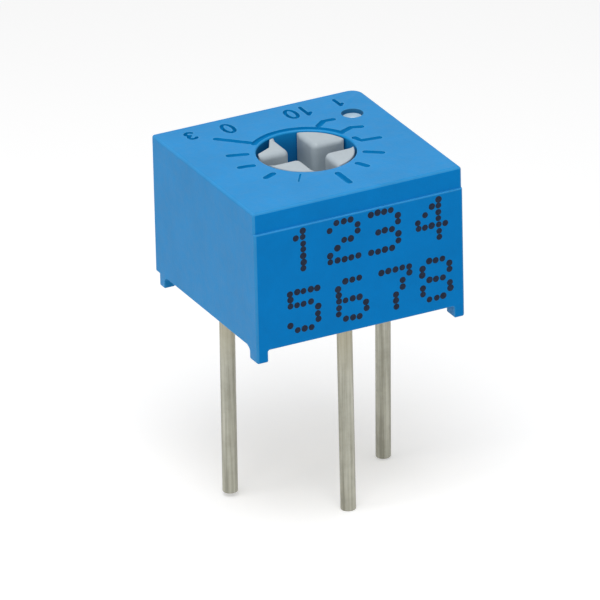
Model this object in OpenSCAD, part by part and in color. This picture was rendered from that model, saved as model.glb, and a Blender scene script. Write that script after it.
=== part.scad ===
// Single-turn square trimmer potentiometer, adjusted from the top, with three leads in a triangle.
// Origin: on the rotor's axis, in the seating plane under the case's feet.
// +Z up, leads down, -Y is the front face. Millimetres.

/* [Case] */
// Distance of the outer leads' axes from the side faces
lead_margin = 0.83; // [0.8:0.01:2]
// Depth of the case, along Y
body_d = 6.58; // [6.4:0.02:9]
// Height of the case above the seating plane
body_h = 4.72; // [4.5:0.02:6]
// Thickness of the side walls
wall = 0.44; // [0.34:0.01:0.46]
// Height of the corner feet below the side walls
foot_h = 0.38; // [0.34:0.02:0.6]
// Radius on the vertical edges
edge_r = 0.08; // [0.05:0.01:0.25]
// Radius on the blunt vertical edge at the back right
blunt_r = 0.38; // [0.26:0.01:0.42]
// Depth of the step in the front face
front_step = 0.06; // [0.02:0.01:0.1]
// Distance of that step below the top
front_step_drop = 0.66; // [0.4:0.02:1]

/* [Feet] */
// Width of the feet, along X
foot_w = 0.34; // [0.28:0.01:0.5]
// Length of the front feet, along Y
foot_front_l = 0.48; // [0.36:0.01:0.8]
// Length of the back feet, along Y
foot_back_l = 0.28; // [0.2:0.01:0.8]
// Distance of the back feet from the back face
foot_inset = 0.3; // [0.1:0.01:0.4]
// Radius that blends the feet into the side walls
foot_blend_r = 0.16; // [0.06:0.01:0.3]

/* [Adjuster hole] */
// Radius of the hole in the top wall
hole_r = 1.46; // [1.36:0.01:1.48]
// Thickness of the top wall at the hole
hole_l = 1.04; // [1:0.01:1.1]
// Chamfer round the mouth of the hole
hole_chamfer = 0.06; // [0.03:0.01:0.08]
// Radius of the chamber that the rotor's flange turns in
chamber_r = 2.25; // [2.2:0.01:2.35]

/* [Dial] */
// Number of dial marks
mark_count = 11; // [3:2:21]
// Angle of the first dial mark, in degrees from +X
mark_start = 135; // [120:1:150]
// Distance from the axis to the inner ends of the marks
mark_in_r = 1.77; // [1.72:0.01:1.82]
// Distance from the axis to the outer ends of the short marks
mark_out_r = 2.28; // [2:0.01:2.4]
// Distance from the axis to the outer ends of the first and the middle mark
mark_long_r = 2.68; // [2.5:0.01:2.8]
// Width of the engraved lines
mark_w = 0.12; // [0.08:0.01:0.14]
// Depth of the engraved lines
mark_depth = 0.08; // [0.03:0.01:0.1]
// Radius of the arc that joins the ends of the dial
arc_r = 1.61; // [1.6:0.01:1.64]
// Radius of the index pit
pit_r = 0.31; // [0.2:0.01:0.34]
// Depth of the index pit
pit_depth = 0.12; // [0.08:0.01:0.4]
// Distance of the index pit from the right face
pit_from_right = 0.98; // [0.9:0.01:1.05]
// Distance of the index pit from the back face
pit_from_back = 1.57; // [1.4:0.01:1.7]
// Height of the dial's digits
dial_digit_h = 0.6; // [0.46:0.01:0.62]
// Height of the digits that number the outer leads
lead_digit_h = 0.46; // [0.38:0.01:0.5]
// Distance of the digits' feet from the back face
digit_margin = 0.45; // [0.38:0.01:0.48]
// Distance of the dial's zero from the axis, along X
zero_x = 1.25; // [1.1:0.01:1.4]
// Distance of the dial's ten from the axis, along X
ten_x = 1.03; // [0.9:0.01:1.3]
// Spacing of the two digits of the dial's ten
digit_pitch = 0.43; // [0.4:0.01:0.46]
// Width of the strokes of the digits
digit_w = 0.1; // [0.06:0.01:0.11]

/* [Rotor] */
// Running gap round the rotor's head
head_gap = 0.06; // [0.03:0.01:0.09]
// Distance of the rotor's top below the case's top
head_drop = 0.02; // [0:0.01:0.1]
// Width of the slot that runs front to back
slot_y_w = 0.76; // [0.5:0.02:0.86]
// Width of the slot that runs side to side
slot_x_w = 0.6; // [0.4:0.02:0.76]
// Radius on the corners where the slots cross
slot_corner_r = 0.2; // [0.08:0.01:0.24]
// Depth of both slots
slot_depth = 0.96; // [0.6:0.02:1]
// Depth of the pointer notch in the rotor's rim
notch_depth = 0.26; // [0.1:0.01:0.33]
// Half angle of the pointer notch's mouth
notch_half = 22; // [10:1:26]
// Radius of the rotor's flange
flange_r = 1.9; // [1.8:0.01:1.95]
// Thickness of the rotor's flange
flange_t = 0.47; // [0.35:0.01:0.5]
// Gap between the rotor's flange and the case
flange_gap = 0.03; // [0.02:0.01:0.08]
// Radial gap between the stop lug and the chamber
lug_gap = 0.06; // [0.03:0.01:0.08]
// Half angle of the rotor's stop lug
lug_half = 16; // [10:1:20]
// Mechanical travel of the rotor, in degrees
travel = 270; // [250:1:280]
// Angle that is kept free at each end stop
stop_gap = 0.5; // [0.2:0.1:1]
// Radius of the stake that holds the wiper
stake_r = 0.32; // [0.28:0.01:0.34]
// Radius of the stake's head
stake_head_r = 0.4; // [0.36:0.01:0.42]
// Thickness of the stake's head
stake_head_t = 0.08; // [0.05:0.01:0.1]

/* [Seal] */
// Radius of the seal's section
seal_section_r = 0.18; // [0.15:0.01:0.19]
// Gap between the seal and the pieces round it
seal_gap = 0.02; // [0.01:0.01:0.04]

/* [Element] */
// Thickness of the ceramic board
board_t = 0.56; // [0.4:0.02:0.66]
// Gap between the board's edge and the case
board_gap = 0.03; // [0.01:0.01:0.05]
// Thickness of the printed layers
print_t = 0.03; // [0.02:0.01:0.05]
// Radius of the middle of the resistive track
track_r = 1.46; // [1.42:0.01:1.48]
// Width of the resistive track
track_w = 0.46; // [0.44:0.01:0.5]
// Radius of the collector's disc
collector_r = 0.9; // [0.88:0.01:0.95]
// Width of the printed links
link_w = 0.28; // [0.2:0.01:0.3]
// Gap between the resistive track and the links round it
link_gap = 0.08; // [0.05:0.01:0.1]
// Radius of the printed pads round the leads
pad_r = 0.33; // [0.3:0.01:0.34]
// Half angle of the end pads under the ends of the wiper's travel
end_half = 8; // [6:1:10]

/* [Wiper] */
// Thickness of the wiper's sheet
wiper_t = 0.08; // [0.06:0.01:0.1]
// Radius of the wiper's hub
hub_r = 1.13; // [1.05:0.01:1.18]
// Width of a wiper finger
finger_w = 0.1; // [0.08:0.01:0.11]
// Spacing of the wiper fingers
finger_pitch = 0.16; // [0.15:0.01:0.17]
// Length of the outer fingers
finger_l = 0.94; // [0.86:0.01:1]
// Length of the inner fingers
inner_finger_l = 0.85; // [0.75:0.01:0.9]
// Drop of the fingers from the hub to the printed layers
finger_drop = 0.45; // [0.36:0.01:0.48]
// Radius of the rounded contact tips
tip_r = 0.055; // [0.05:0.005:0.065]
// Gap between the tips and the printed layers
tip_gap = 0.01; // [0.01:0.01:0.02]
// Gap round the stake and the inner fingers in the hub
hub_gap = 0.02; // [0.01:0.01:0.03]

/* [Leads] */
// Diameter of the leads
lead_d = 0.46; // [0.42:0.01:0.5]
// Lead spacing grid
grid = 2.54; // [2.4:0.01:2.6]
// Distance of the outer leads behind the rotor's axis
axis_offset = 0.35; // [0.2:0.01:0.42]
// Length of the leads below the seating plane
lead_l = 5.85; // [3:0.05:8]
// Chamfer on the cut ends of the leads
lead_chamfer = 0.05; // [0.02:0.01:0.08]
// Width of the square tails that hold the leads in the board and the potting
tail_w = 0.32; // [0.28:0.01:0.32]
// Height of the tails above the board
tail_stub = 0.25; // [0.24:0.01:0.3]
// Height of the solder joints
solder_h = 0.18; // [0.1:0.01:0.2]
// Gap between the tails and the board
tail_gap = 0.01; // [0.01:0.01:0.02]
// Room round the pads and the tails in the case
pocket_gap = 0.07; // [0.04:0.01:0.08]

/* [Potting] */
// Distance of the potting's face above the lower edge of the walls
potting_recess = 0.08; // [0.04:0.01:0.1]
// Height of the resin drawn down along each lead
meniscus_h = 0.2; // [0.1:0.01:0.3]
// Width of the resin round each lead at its root
meniscus_w = 0.12; // [0.08:0.01:0.14]
// Width of the resin's edge where it ends on a lead
meniscus_edge = 0.02; // [0.01:0.01:0.04]

/* [Hidden] */
$fn = 96;
// Length by which a cutter passes the surface that it opens
over = 0.5;
body_w = 2 * (grid + lead_margin);
lead_r = lead_d / 2;
head_r = hole_r - head_gap;
front_step_z = body_h - front_step_drop;

// Heights, from the top down
head_top = body_h - head_drop;
hole_z = body_h - hole_l;
seal_z = hole_z - 2 * (seal_section_r + seal_gap);
flange_top = seal_z - flange_gap;
flange_z = flange_top - flange_t;
wiper_z = flange_z - wiper_t;
tip_z = wiper_z - finger_drop;
print_top = tip_z - tip_gap;
board_top = print_top - print_t;
board_z = board_top - board_t;
tail_top = board_top + tail_stub;
pocket_z = tail_top + pocket_gap;
potting_z = foot_h + potting_recess;

// The cavity in the case, and the seal's recess and the stop inside it
cavity_w = body_w - 2 * wall;
cavity_d = body_d - 2 * wall;
seal_recess_r = head_r + 2 * (seal_section_r + seal_gap);
pocket_r = pad_r + pocket_gap;
lug_r = chamber_r - lug_gap;
stop_in_r = flange_r + lug_gap;
stop_z = flange_z + lug_gap;

// Angles: the notch points at the first dial mark, and the wiper and the lug lie opposite
mark_step = travel / (mark_count - 1);
wiper_angle = mark_start + 180;
dead_angle = 360 - travel;
stop_angle = wiper_angle - dead_angle / 2;
stop_half = dead_angle / 2 - lug_half - stop_gap;

// Printed layers
track_in_r = track_r - track_w / 2;
track_out_r = track_r + track_w / 2;
link_in_r = track_out_r + link_gap;
link_out_r = link_in_r + link_w;
board_hole_r = tail_w / sqrt(2) + tail_gap;

// Places of the leads: 1 at the right, 2 at the front, 3 at the left
lead_1 = [grid, axis_offset];
lead_2 = [0, axis_offset - grid];
lead_3 = [-grid, axis_offset];
leads = [lead_1, lead_2, lead_3];

// A ring sector between two radii, from angle a0 to a1, standing on z = 0
module sector(r0, r1, a0, a1, h) {
    rotate([0, 0, a0])
        rotate_extrude(angle = a1 - a0)
            translate([r0, 0])
                square([r1 - r0, h]);
}

// A profile in Y and Z, extruded from x0 to x1
module along_x(x0, x1) {
    translate([x0, 0, 0])
        rotate([90, 0, 90])
            linear_extrude(x1 - x0) children();
}

// A profile in X and Z, extruded from y0 to y1
module along_y(y0, y1) {
    translate([0, y1, 0])
        rotate([90, 0, 0])
            linear_extrude(y1 - y0) children();
}

// The waste of a rounded corner: its sharp tip at the origin, its sides along +X and +Y
module corner_waste(r) {
    difference() {
        translate([-over, -over]) square(r + over);
        translate([r, r]) circle(r = r);
    }
}

// A block with its four vertical edges rounded, its front face at y0
module case_block(y0, z1) {
    x = body_w / 2;
    y = body_d / 2;
    difference() {
        translate([-x, y0, 0]) cube([body_w, y - y0, z1]);
        translate([0, 0, -over])
            linear_extrude(z1 + 2 * over) {
                translate([-x, y0]) corner_waste(edge_r);
                translate([x, y0]) rotate(90) corner_waste(edge_r);
                translate([-x, y]) rotate(-90) corner_waste(edge_r);
                translate([x, y]) rotate(180) corner_waste(blunt_r);
            }
    }
}

// Engraved strokes: a straight one along X from x0 to x1, and an arc
module groove(x0, x1, w) {
    translate([x0, -w / 2, -mark_depth]) cube([x1 - x0, w, mark_depth + over]);
}

module arc_groove(r, a0, a1, w) {
    translate([0, 0, -mark_depth]) sector(r - w / 2, r + w / 2, a0, a1, mark_depth + over);
}

// Engraved digits of height h, centred, drawn upright
module digit_0(h) {
    r = 0.28 * h - digit_w / 2;
    straight = h / 2 - r - digit_w / 2;
    for (turn = [0, 180])
        rotate([0, 0, turn]) {
            translate([0, straight, 0]) arc_groove(r, 0, 180, digit_w);
            translate([r, 0, 0]) rotate([0, 0, 90]) groove(-straight, straight, digit_w);
        }
}

module digit_1(h) {
    rotate([0, 0, 90]) groove(-h / 2, h / 2, digit_w);
    translate([0, (h - digit_w) / 2, 0]) rotate([0, 0, 215]) groove(0, 0.36 * h, digit_w);
}

module digit_3(h) {
    r = (h - digit_w) / 4;
    translate([0, r, 0]) arc_groove(r, -90, 150, digit_w);
    translate([0, -r, 0]) arc_groove(r, -150, 90, digit_w);
}

// The digits read from the back, so each is turned round where it stands
module back_digit(x, h) {
    translate([x, body_d / 2 - digit_margin - h / 2, 0]) rotate([0, 0, 180]) children();
}

// All the engraving of the top, drawn on z = 0
module dial_cutters() {
    middle = (mark_count - 1) / 2;
    for (i = [0 : mark_count - 1])
        rotate([0, 0, mark_start + i * mark_step])
            groove(mark_in_r, (i == 0 || i == middle) ? mark_long_r : mark_out_r, mark_w);
    arc_groove(arc_r, mark_start - dead_angle, mark_start, mark_w);
    // The ends of the dial are 0 and 10
    back_digit(-zero_x, dial_digit_h) digit_0(dial_digit_h);
    back_digit(ten_x - digit_pitch / 2, dial_digit_h) digit_0(dial_digit_h);
    back_digit(ten_x + digit_pitch / 2, dial_digit_h) digit_1(dial_digit_h);
    // The outer leads are 1 and 3
    back_digit(grid, lead_digit_h) digit_1(lead_digit_h);
    back_digit(-grid, lead_digit_h) digit_3(lead_digit_h);
}

// The space under the front and back walls, between the left and the right feet
module front_relief() {
    w = body_w - 2 * foot_w;
    translate([-w / 2, -body_d / 2 - over, -over]) cube([w, body_d + 2 * over, foot_h + over]);
}

// The space under the side walls, between the front and the back feet and behind the back feet
module side_relief() {
    y0 = -body_d / 2 + foot_front_l;
    y1 = body_d / 2 - foot_inset - foot_back_l;
    along_x(-body_w / 2 - over, body_w / 2 + over) {
        difference() {
            translate([y0, -over]) square([y1 - y0, foot_h + over]);
            translate([y0, foot_h]) rotate(-90) corner_waste(foot_blend_r);
            translate([y1, foot_h]) rotate(180) corner_waste(foot_blend_r);
        }
        translate([body_d / 2 - foot_inset, -over]) square([foot_inset + over, foot_h + over]);
    }
}

// The moulded case, open below
module housing() {
    color([0.15, 0.47, 0.76]) {
        difference() {
            union() {
                case_block(-body_d / 2, front_step_z);
                case_block(-body_d / 2 + front_step, body_h);
            }
            front_relief();
            side_relief();
            translate([-cavity_w / 2, -cavity_d / 2, -over])
                cube([cavity_w, cavity_d, board_top + over]);
            // Rotor's chamber, seal's recess and adjuster hole
            translate([0, 0, board_top - over]) cylinder(r = chamber_r, h = seal_z - board_top + over);
            translate([0, 0, seal_z - over]) cylinder(r = seal_recess_r, h = hole_z - seal_z + over);
            translate([0, 0, hole_z - over]) cylinder(r = hole_r, h = hole_l + 2 * over);
            translate([0, 0, body_h - hole_chamfer])
                cylinder(r1 = hole_r, r2 = hole_r + hole_chamfer + over, h = hole_chamfer + over);
            // Pockets over the soldered tails
            for (at = leads)
                translate([at.x, at.y, board_top - over])
                    cylinder(r = pocket_r, h = pocket_z - board_top + over);
            translate([0, 0, body_h]) dial_cutters();
            translate([body_w / 2 - pit_from_right, body_d / 2 - pit_from_back, body_h - pit_depth])
                cylinder(r = pit_r, h = pit_depth + over);
        }
        // Stop for the rotor's lug, rooted in the chamber's wall and ceiling
        translate([0, 0, stop_z])
            sector(stop_in_r, chamber_r + wall / 2, stop_angle - stop_half, stop_angle + stop_half,
                   seal_z - stop_z + wall / 2);
    }
}

// The cross slot in the rotor's head, its inner corners rounded
module cross_slot() {
    x = slot_y_w / 2;
    y = slot_x_w / 2;
    mouth = head_r + over;
    translate([0, 0, head_top - slot_depth])
        linear_extrude(slot_depth + over) {
            translate([-x, -mouth]) square([slot_y_w, 2 * mouth]);
            translate([-mouth, -y]) square([2 * mouth, slot_x_w]);
            translate([x, y]) corner_waste(slot_corner_r);
            translate([-x, y]) rotate(90) corner_waste(slot_corner_r);
            translate([-x, -y]) rotate(180) corner_waste(slot_corner_r);
            translate([x, -y]) rotate(-90) corner_waste(slot_corner_r);
        }
}

// The adjuster: slotted head, flange, stop lug and the stake for the wiper
module rotor() {
    mouth = head_r + over;
    color([0.86, 0.86, 0.85])
        difference() {
            union() {
                translate([0, 0, flange_z]) cylinder(r = head_r, h = head_top - flange_z);
                translate([0, 0, flange_z]) cylinder(r = flange_r, h = flange_t);
                translate([0, 0, flange_z])
                    sector(head_r, lug_r, wiper_angle - lug_half, wiper_angle + lug_half, flange_t);
                translate([0, 0, wiper_z]) cylinder(r = stake_r, h = wiper_t + flange_t / 2);
                translate([0, 0, wiper_z - stake_head_t]) cylinder(r = stake_head_r, h = stake_head_t);
            }
            cross_slot();
            // Pointer notch
            rotate([0, 0, mark_start])
                translate([0, 0, head_top - slot_depth])
                    linear_extrude(slot_depth + over)
                        polygon([[head_r - notch_depth, 0],
                                 [mouth * cos(notch_half), mouth * sin(notch_half)],
                                 [mouth * cos(notch_half), -mouth * sin(notch_half)]]);
        }
}

// The rubber ring between the rotor's neck and the case
module shaft_seal() {
    color([0.12, 0.12, 0.12])
        translate([0, 0, seal_z + seal_gap + seal_section_r])
            rotate_extrude()
                translate([head_r + seal_gap + seal_section_r, 0])
                    circle(r = seal_section_r);
}

// One finger along +Y, its root at y = 0 and its rounded tip at y = length
module finger(x, length) {
    tip_c = tip_z + tip_r;
    root_c = wiper_z + wiper_t / 2;
    half = wiper_t / 2;
    along_x(x - finger_w / 2, x + finger_w / 2) {
        polygon([[-wiper_t, wiper_z], [0, wiper_z], [length, tip_c - half], [length, tip_c + half],
                 [0, root_c + half], [-wiper_t, root_c + half]]);
        translate([length, tip_c]) circle(r = tip_r);
    }
}

// The stamped contact spring under the rotor: three fingers on the track, two on the collector
module wiper() {
    bar_x = track_r + finger_pitch + finger_w / 2;
    inner_x = -(stake_head_r + hub_gap + finger_pitch);
    window_x = finger_pitch + finger_w + 2 * hub_gap;
    color([0.83, 0.66, 0.36])
        rotate([0, 0, wiper_angle]) {
            difference() {
                union() {
                    translate([0, 0, wiper_z]) cylinder(r = hub_r, h = wiper_t);
                    translate([0, -finger_l - 2 * wiper_t, wiper_z])
                        cube([bar_x, 2 * wiper_t, wiper_t]);
                }
                translate([0, 0, wiper_z - over]) cylinder(r = stake_r + hub_gap, h = 2 * over);
                translate([inner_x - window_x / 2, -inner_finger_l / 2 - 2 * tip_r, wiper_z - over])
                    cube([window_x, inner_finger_l + 2 * tip_r, 2 * over]);
            }
            for (i = [-1 : 1])
                translate([0, -finger_l, 0]) finger(track_r + i * finger_pitch, finger_l);
            for (i = [-0.5, 0.5])
                rotate([0, 0, 180])
                    translate([0, -inner_finger_l / 2, 0])
                        finger(-inner_x + i * finger_pitch, inner_finger_l);
        }
}

// The ceramic board under the rotor
module substrate() {
    w = cavity_w - 2 * board_gap;
    d = cavity_d - 2 * board_gap;
    color([0.93, 0.92, 0.88])
        difference() {
            translate([-w / 2, -d / 2, board_z]) cube([w, d, board_t]);
            for (at = leads)
                translate([at.x, at.y, board_z - over])
                    cylinder(r = board_hole_r, h = board_t + 2 * over);
        }
}

// The cermet arc between the two end pads
module resistive_track() {
    color([0.1, 0.11, 0.12])
        translate([0, 0, board_top])
            sector(track_in_r, track_out_r, wiper_angle + end_half, wiper_angle + travel - end_half,
                   print_t);
}

// A printed pad round a lead, with the strip of length l that leads to it from the axis' side
module lead_pad(at, l) {
    translate([at.x, at.y, board_top]) {
        difference() {
            union() {
                cylinder(r = pad_r, h = print_t);
                rotate([0, 0, atan2(-at.y, -at.x)])
                    translate([0, -link_w / 2, 0]) cube([l, link_w, print_t]);
            }
            translate([0, 0, -over]) cylinder(r = board_hole_r, h = 2 * over);
        }
    }
}

// An end pad: the sector under the end of the travel, its link and the pad of its lead
module end_pad(end_angle, at, a0, a1) {
    color([0.75, 0.74, 0.7]) {
        translate([0, 0, board_top]) {
            sector(track_in_r, link_out_r, end_angle - end_half, end_angle + end_half, print_t);
            sector(link_in_r, link_out_r, a0, a1, print_t);
        }
        lead_pad(at, norm(at) - link_in_r - link_w / 2);
    }
}

module end_pad_1() {
    end_pad(wiper_angle, lead_1, wiper_angle, 360 + atan2(lead_1.y, lead_1.x));
}

module end_pad_3() {
    end_pad(wiper_angle + travel - 360, lead_3, atan2(lead_3.y, lead_3.x), wiper_angle + travel - 360);
}

// The printed disc under the inner fingers, and its link to lead 2
module collector() {
    color([0.78, 0.77, 0.73]) {
        translate([0, 0, board_top]) cylinder(r = collector_r, h = print_t);
        lead_pad(lead_2, norm(lead_2));
    }
}

// A lead: round below the potting, square where the potting and the board hold it
module lead(at) {
    color([0.66, 0.65, 0.61])
        translate([at.x, at.y, 0]) {
            translate([0, 0, -lead_l + lead_chamfer])
                cylinder(r = lead_r, h = lead_l - lead_chamfer + potting_z);
            translate([0, 0, -lead_l])
                cylinder(r1 = lead_r - lead_chamfer, r2 = lead_r, h = lead_chamfer);
            translate([-tail_w / 2, -tail_w / 2, potting_z - tail_w])
                cube([tail_w, tail_w, tail_top - potting_z + tail_w]);
        }
}

module pin_1() {
    lead(lead_1);
}

module pin_2() {
    lead(lead_2);
}

module pin_3() {
    lead(lead_3);
}

// A solder joint round a lead's tail, on its pad
module solder(at) {
    color([0.76, 0.76, 0.77])
        translate([at.x, at.y, print_top])
            difference() {
                cylinder(r1 = pad_r, r2 = board_hole_r, h = solder_h);
                translate([-tail_w / 2, -tail_w / 2, -over]) cube([tail_w, tail_w, solder_h + 2 * over]);
            }
}

module solder_1() {
    solder(lead_1);
}

module solder_2() {
    solder(lead_2);
}

module solder_3() {
    solder(lead_3);
}

// The resin that closes the case below the board and holds the leads
module potting() {
    color([0.72, 0.62, 0.42]) {
        difference() {
            translate([-cavity_w / 2, -cavity_d / 2, potting_z])
                cube([cavity_w, cavity_d, board_z - potting_z]);
            for (at = leads)
                translate([at.x - tail_w / 2, at.y - tail_w / 2, potting_z - over])
                    cube([tail_w, tail_w, board_z - potting_z + 2 * over]);
        }
        // The edge drawn down along each lead
        for (at = leads)
            translate([at.x, at.y, potting_z])
                rotate_extrude()
                    polygon([[lead_r + tail_gap, 0], [lead_r + meniscus_w, 0],
                             [lead_r + tail_gap + meniscus_edge, -meniscus_h],
                             [lead_r + tail_gap, -meniscus_h]]);
    }
}

housing();
rotor();
shaft_seal();
wiper();
substrate();
resistive_track();
end_pad_1();
end_pad_3();
collector();
pin_1();
pin_2();
pin_3();
solder_1();
solder_2();
solder_3();
potting();
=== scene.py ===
"""Looks of a square single-turn trimmer potentiometer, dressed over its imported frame.

Lengths are in millimetres until a finished piece is scaled to metres. The frame's origin is on
the rotor's axis in the plane of the feet, +Z is up and -Y is the printed front face.
"""

import math
import random

import bmesh
import bpy
from mathutils import Matrix, Vector


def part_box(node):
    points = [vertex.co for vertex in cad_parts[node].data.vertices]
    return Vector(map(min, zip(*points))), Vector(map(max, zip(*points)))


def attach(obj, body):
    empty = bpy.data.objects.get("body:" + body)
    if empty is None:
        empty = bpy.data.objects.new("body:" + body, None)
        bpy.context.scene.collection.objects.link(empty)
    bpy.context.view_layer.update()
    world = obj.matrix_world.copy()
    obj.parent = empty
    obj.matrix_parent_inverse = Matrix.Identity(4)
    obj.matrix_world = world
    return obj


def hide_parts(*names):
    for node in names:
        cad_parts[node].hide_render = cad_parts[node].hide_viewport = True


MM = 0.001
TURN = 2 * math.pi

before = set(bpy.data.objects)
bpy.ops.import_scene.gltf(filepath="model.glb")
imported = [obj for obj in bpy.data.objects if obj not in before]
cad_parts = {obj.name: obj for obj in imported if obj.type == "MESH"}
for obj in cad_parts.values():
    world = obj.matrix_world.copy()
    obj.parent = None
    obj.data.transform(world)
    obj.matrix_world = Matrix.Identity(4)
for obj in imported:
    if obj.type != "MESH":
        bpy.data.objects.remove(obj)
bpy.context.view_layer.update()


def box_mm(node):
    """Lowest and highest corner of a node of the frame, in millimetres."""
    low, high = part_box(node)
    return low / MM, high / MM


# ---------------------------------------------------------------- sizes, in millimetres

CASE_LOW, CASE_HIGH = box_mm("housing")
ROTOR_LOW, ROTOR_HIGH = box_mm("rotor")
SEAL_LOW, SEAL_HIGH = box_mm("shaft_seal")
BOARD_HIGH = box_mm("substrate")[1]
POTTING_LOW = box_mm("potting")[0]
LEAD_LOW, LEAD_HIGH = box_mm("pin_1")

# How far a cutter passes the face it opens, how far joined solids overlap, and the least overlap
PAST = 1.0
OVERLAP = 0.2
HAIR = 0.002

# Case: its plan, its rims, and the step across its front
TOP = CASE_HIGH.z
WALL = 0.44
EDGE_R = 0.08
BLUNT_R = 0.38
SHARPEST_R = 0.01
RIM_R = 0.09
WALL_EDGE_R = 0.04
STEP_DEPTH = 0.06
STEP_Z = TOP - 0.66
STEP_R = 0.025

# Feet
FOOT_H = 0.38
FOOT_W = 0.34
FOOT_FRONT_L = 0.48
FOOT_BACK_L = 0.28
FOOT_INSET = 0.30
FOOT_EDGE_R = 0.06
FOOT_BLEND_R = 0.16
FRONT_BLEND_R = 0.04
FOOT_ROOT = 0.3

# Inside of the case
HOLE_R = 1.46
HOLE_LIP_R = 0.06
CHAMBER_R = 2.25
CAVITY_CORNER_R = 0.02
POCKET_R = 0.40
POCKET_GAP = 0.07
STOP_IN_R = 1.96
STOP_ANGLE = 270
STOP_HALF = 28.5
STOP_RISE = 0.2
SEAL_SECTION_R = 0.18
SEAL_GAP = 0.02

# Dial: angles in degrees from +X, radii from the dial's centre, which is a little off the axis
DIAL_CENTRE = Vector((0.06, 0.09))
MARK_START = 135
MARK_STEP = 27
MARK_COUNT = 11
MARK_IN_R = 1.77
MARK_OUT_R = 2.28
MARK_LONG_R = 2.68
MARK_W = 0.20
MARK_DEPTH = 0.10
FIRST_MARK_IN_R = 1.73
FIRST_MARK_R = 2.76
# Marks that aren't plain radial strokes, each as radii and angles from the mark's own direction
BENT_MARKS = {
    2: ((1.90, -1), (2.08, -3), (2.27, -4)),
    3: ((1.95, -3), (MARK_OUT_R, -4)),
    4: ((MARK_IN_R, -6), (MARK_OUT_R, -6)),
    5: ((1.96, 0), (MARK_LONG_R, 0)),
    6: ((1.82, 0), (2.14, 0)),
    7: ((1.72, 0), (2.20, 0)),
    8: ((1.58, 10), (1.68, 1), (2.22, 1)),
    9: ((1.62, 4), (1.98, 4), (2.20, -1)),
    10: ((1.68, 6), (2.04, 4), (2.23, -2)),
}
FAINT_MARK = 4
FAINT_SHARE = 0.3
# The arc round the hole starts just before the first mark and ends short of the last
ARC_R = 1.61
ARC_LEAD = 2
ARC_TAIL = 22
# Half of a groove's section, from its middle to past its lip, in shares of its width and depth
GROOVE_SECTION = [(0.0, -1.0), (0.24, -0.96), (0.42, -0.62), (0.5, 0.0), (0.56, 0.06)]
# A groove's round end: widths past its last point, and the share of the section left there
GROOVE_END = [(0.49, 0.2), (0.4, 0.6), (0.22, 0.89)]

# Digits along the back edge: the dial's ends, 0 and 10, and the outer leads, 1 and 3
DIAL_DIGIT_H = 0.60
LEAD_DIGIT_H = 0.46
DIGIT_W = 0.12
DIGIT_MARGIN = 0.45
ZERO_X = -1.25
TEN_X = 1.03
DIGIT_PITCH = 0.43
BACK_DIGITS = (
    ("0", ZERO_X, DIAL_DIGIT_H),
    ("0", TEN_X - DIGIT_PITCH / 2, DIAL_DIGIT_H),
    ("1", TEN_X + DIGIT_PITCH / 2, DIAL_DIGIT_H),
    ("1", 2.36, LEAD_DIGIT_H),
    ("3", -2.42, LEAD_DIGIT_H),
)

# Index pit
PIT_INSET = Vector((0.98, 1.57))
PIT_R = 0.31
PIT_DEPTH = 0.12
PIT_LIP_R = 0.02
PIT_TAPER = 0.02
PIT_SAG = 0.02
PIT_HUB_R = 0.02
PIT_RINGS = 7

# Rotor: the head's four blocks between the slots, the flange, the lug and the stake
HEAD_R = 1.40
SLOT_Y_W = 0.76
SLOT_X_W = 0.60
SLOT_DEPTH = 0.96
SLOT_CORNER_R = 0.20
BLOCK_EDGE_R = 0.18
BLOCK_RIM_R = 0.04
BLOCK_CORNER = 0.12
NOTCH_ANGLE = 45
NOTCH_DEPTH = 0.26
NOTCH_HALF = 22
NOTCH_LIP = 0.5
FLANGE_R = 1.90
FLANGE_T = 0.47
FLANGE_BEVEL = 0.05
LUG_HALF = 16
LUG_GAP = 0.06
STAKE_R = 0.32
STAKE_HEAD_R = 0.40
STAKE_HEAD_T = 0.08
WIPER_T = 0.08

# Leads: right, front and left; how much each is cut short, and its lean along X at root and end
LEADS = (1, 2, 3)
LEAD_R = 0.23
LEAD_END_R = 0.03
LEAD_FACE_R = 0.182
LEAD_CUTS = {1: 0.04, 2: 0.0, 3: 0.12}
LEAD_LEANS = {1: (0.05, -0.06), 2: (0.0, 0.0), 3: (0.02, -0.03)}
TAIL_W = 0.32
TAIL_EDGE_R = 0.03
TAIL_ROOT = 0.3


# ---------------------------------------------------------------- outlines and solids

def circle(radius, z, steps=128, centre=(0, 0)):
    """A ring of points, anticlockwise."""
    ring = []
    for i in range(steps):
        a = TURN * i / steps
        ring.append((centre[0] + radius * math.cos(a), centre[1] + radius * math.sin(a), z))
    return ring


def arc(radius, start, end, steps=24, centre=(0, 0)):
    """Points of an arc, angles in degrees."""
    points = []
    for i in range(steps + 1):
        a = math.radians(start + (end - start) * i / steps)
        points.append((centre[0] + radius * math.cos(a), centre[1] + radius * math.sin(a)))
    return points


def rounded_rectangle(x0, y0, x1, y1, radii, steps=12):
    """Outline of a rectangle, its corner radii from the front left one anticlockwise."""
    corners = ((x0, y0, 1, 1, 180), (x1, y0, -1, 1, 270), (x1, y1, -1, -1, 0), (x0, y1, 1, -1, 90))
    points = []
    for (x, y, sx, sy, start), r in zip(corners, radii):
        points += arc(r, start, start + 90, steps, (x + sx * r, y + sy * r))
    return points


def polar(radius, angle):
    """A point of the plane from its radius and its angle in degrees."""
    a = math.radians(angle)
    return (radius * math.cos(a), radius * math.sin(a))


def ellipse(width, height, steps=32):
    """A closed ring of points of the plane."""
    turns = [TURN * i / steps for i in range(steps)]
    return [(width / 2 * math.cos(a), height / 2 * math.sin(a)) for a in turns]


def quarter(steps, first=0):
    """Sines and cosines over a quarter turn, to round an edge with."""
    turns = [math.radians(90 * i / steps) for i in range(first, steps + 1)]
    return [(math.sin(a), math.cos(a)) for a in turns]


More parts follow.
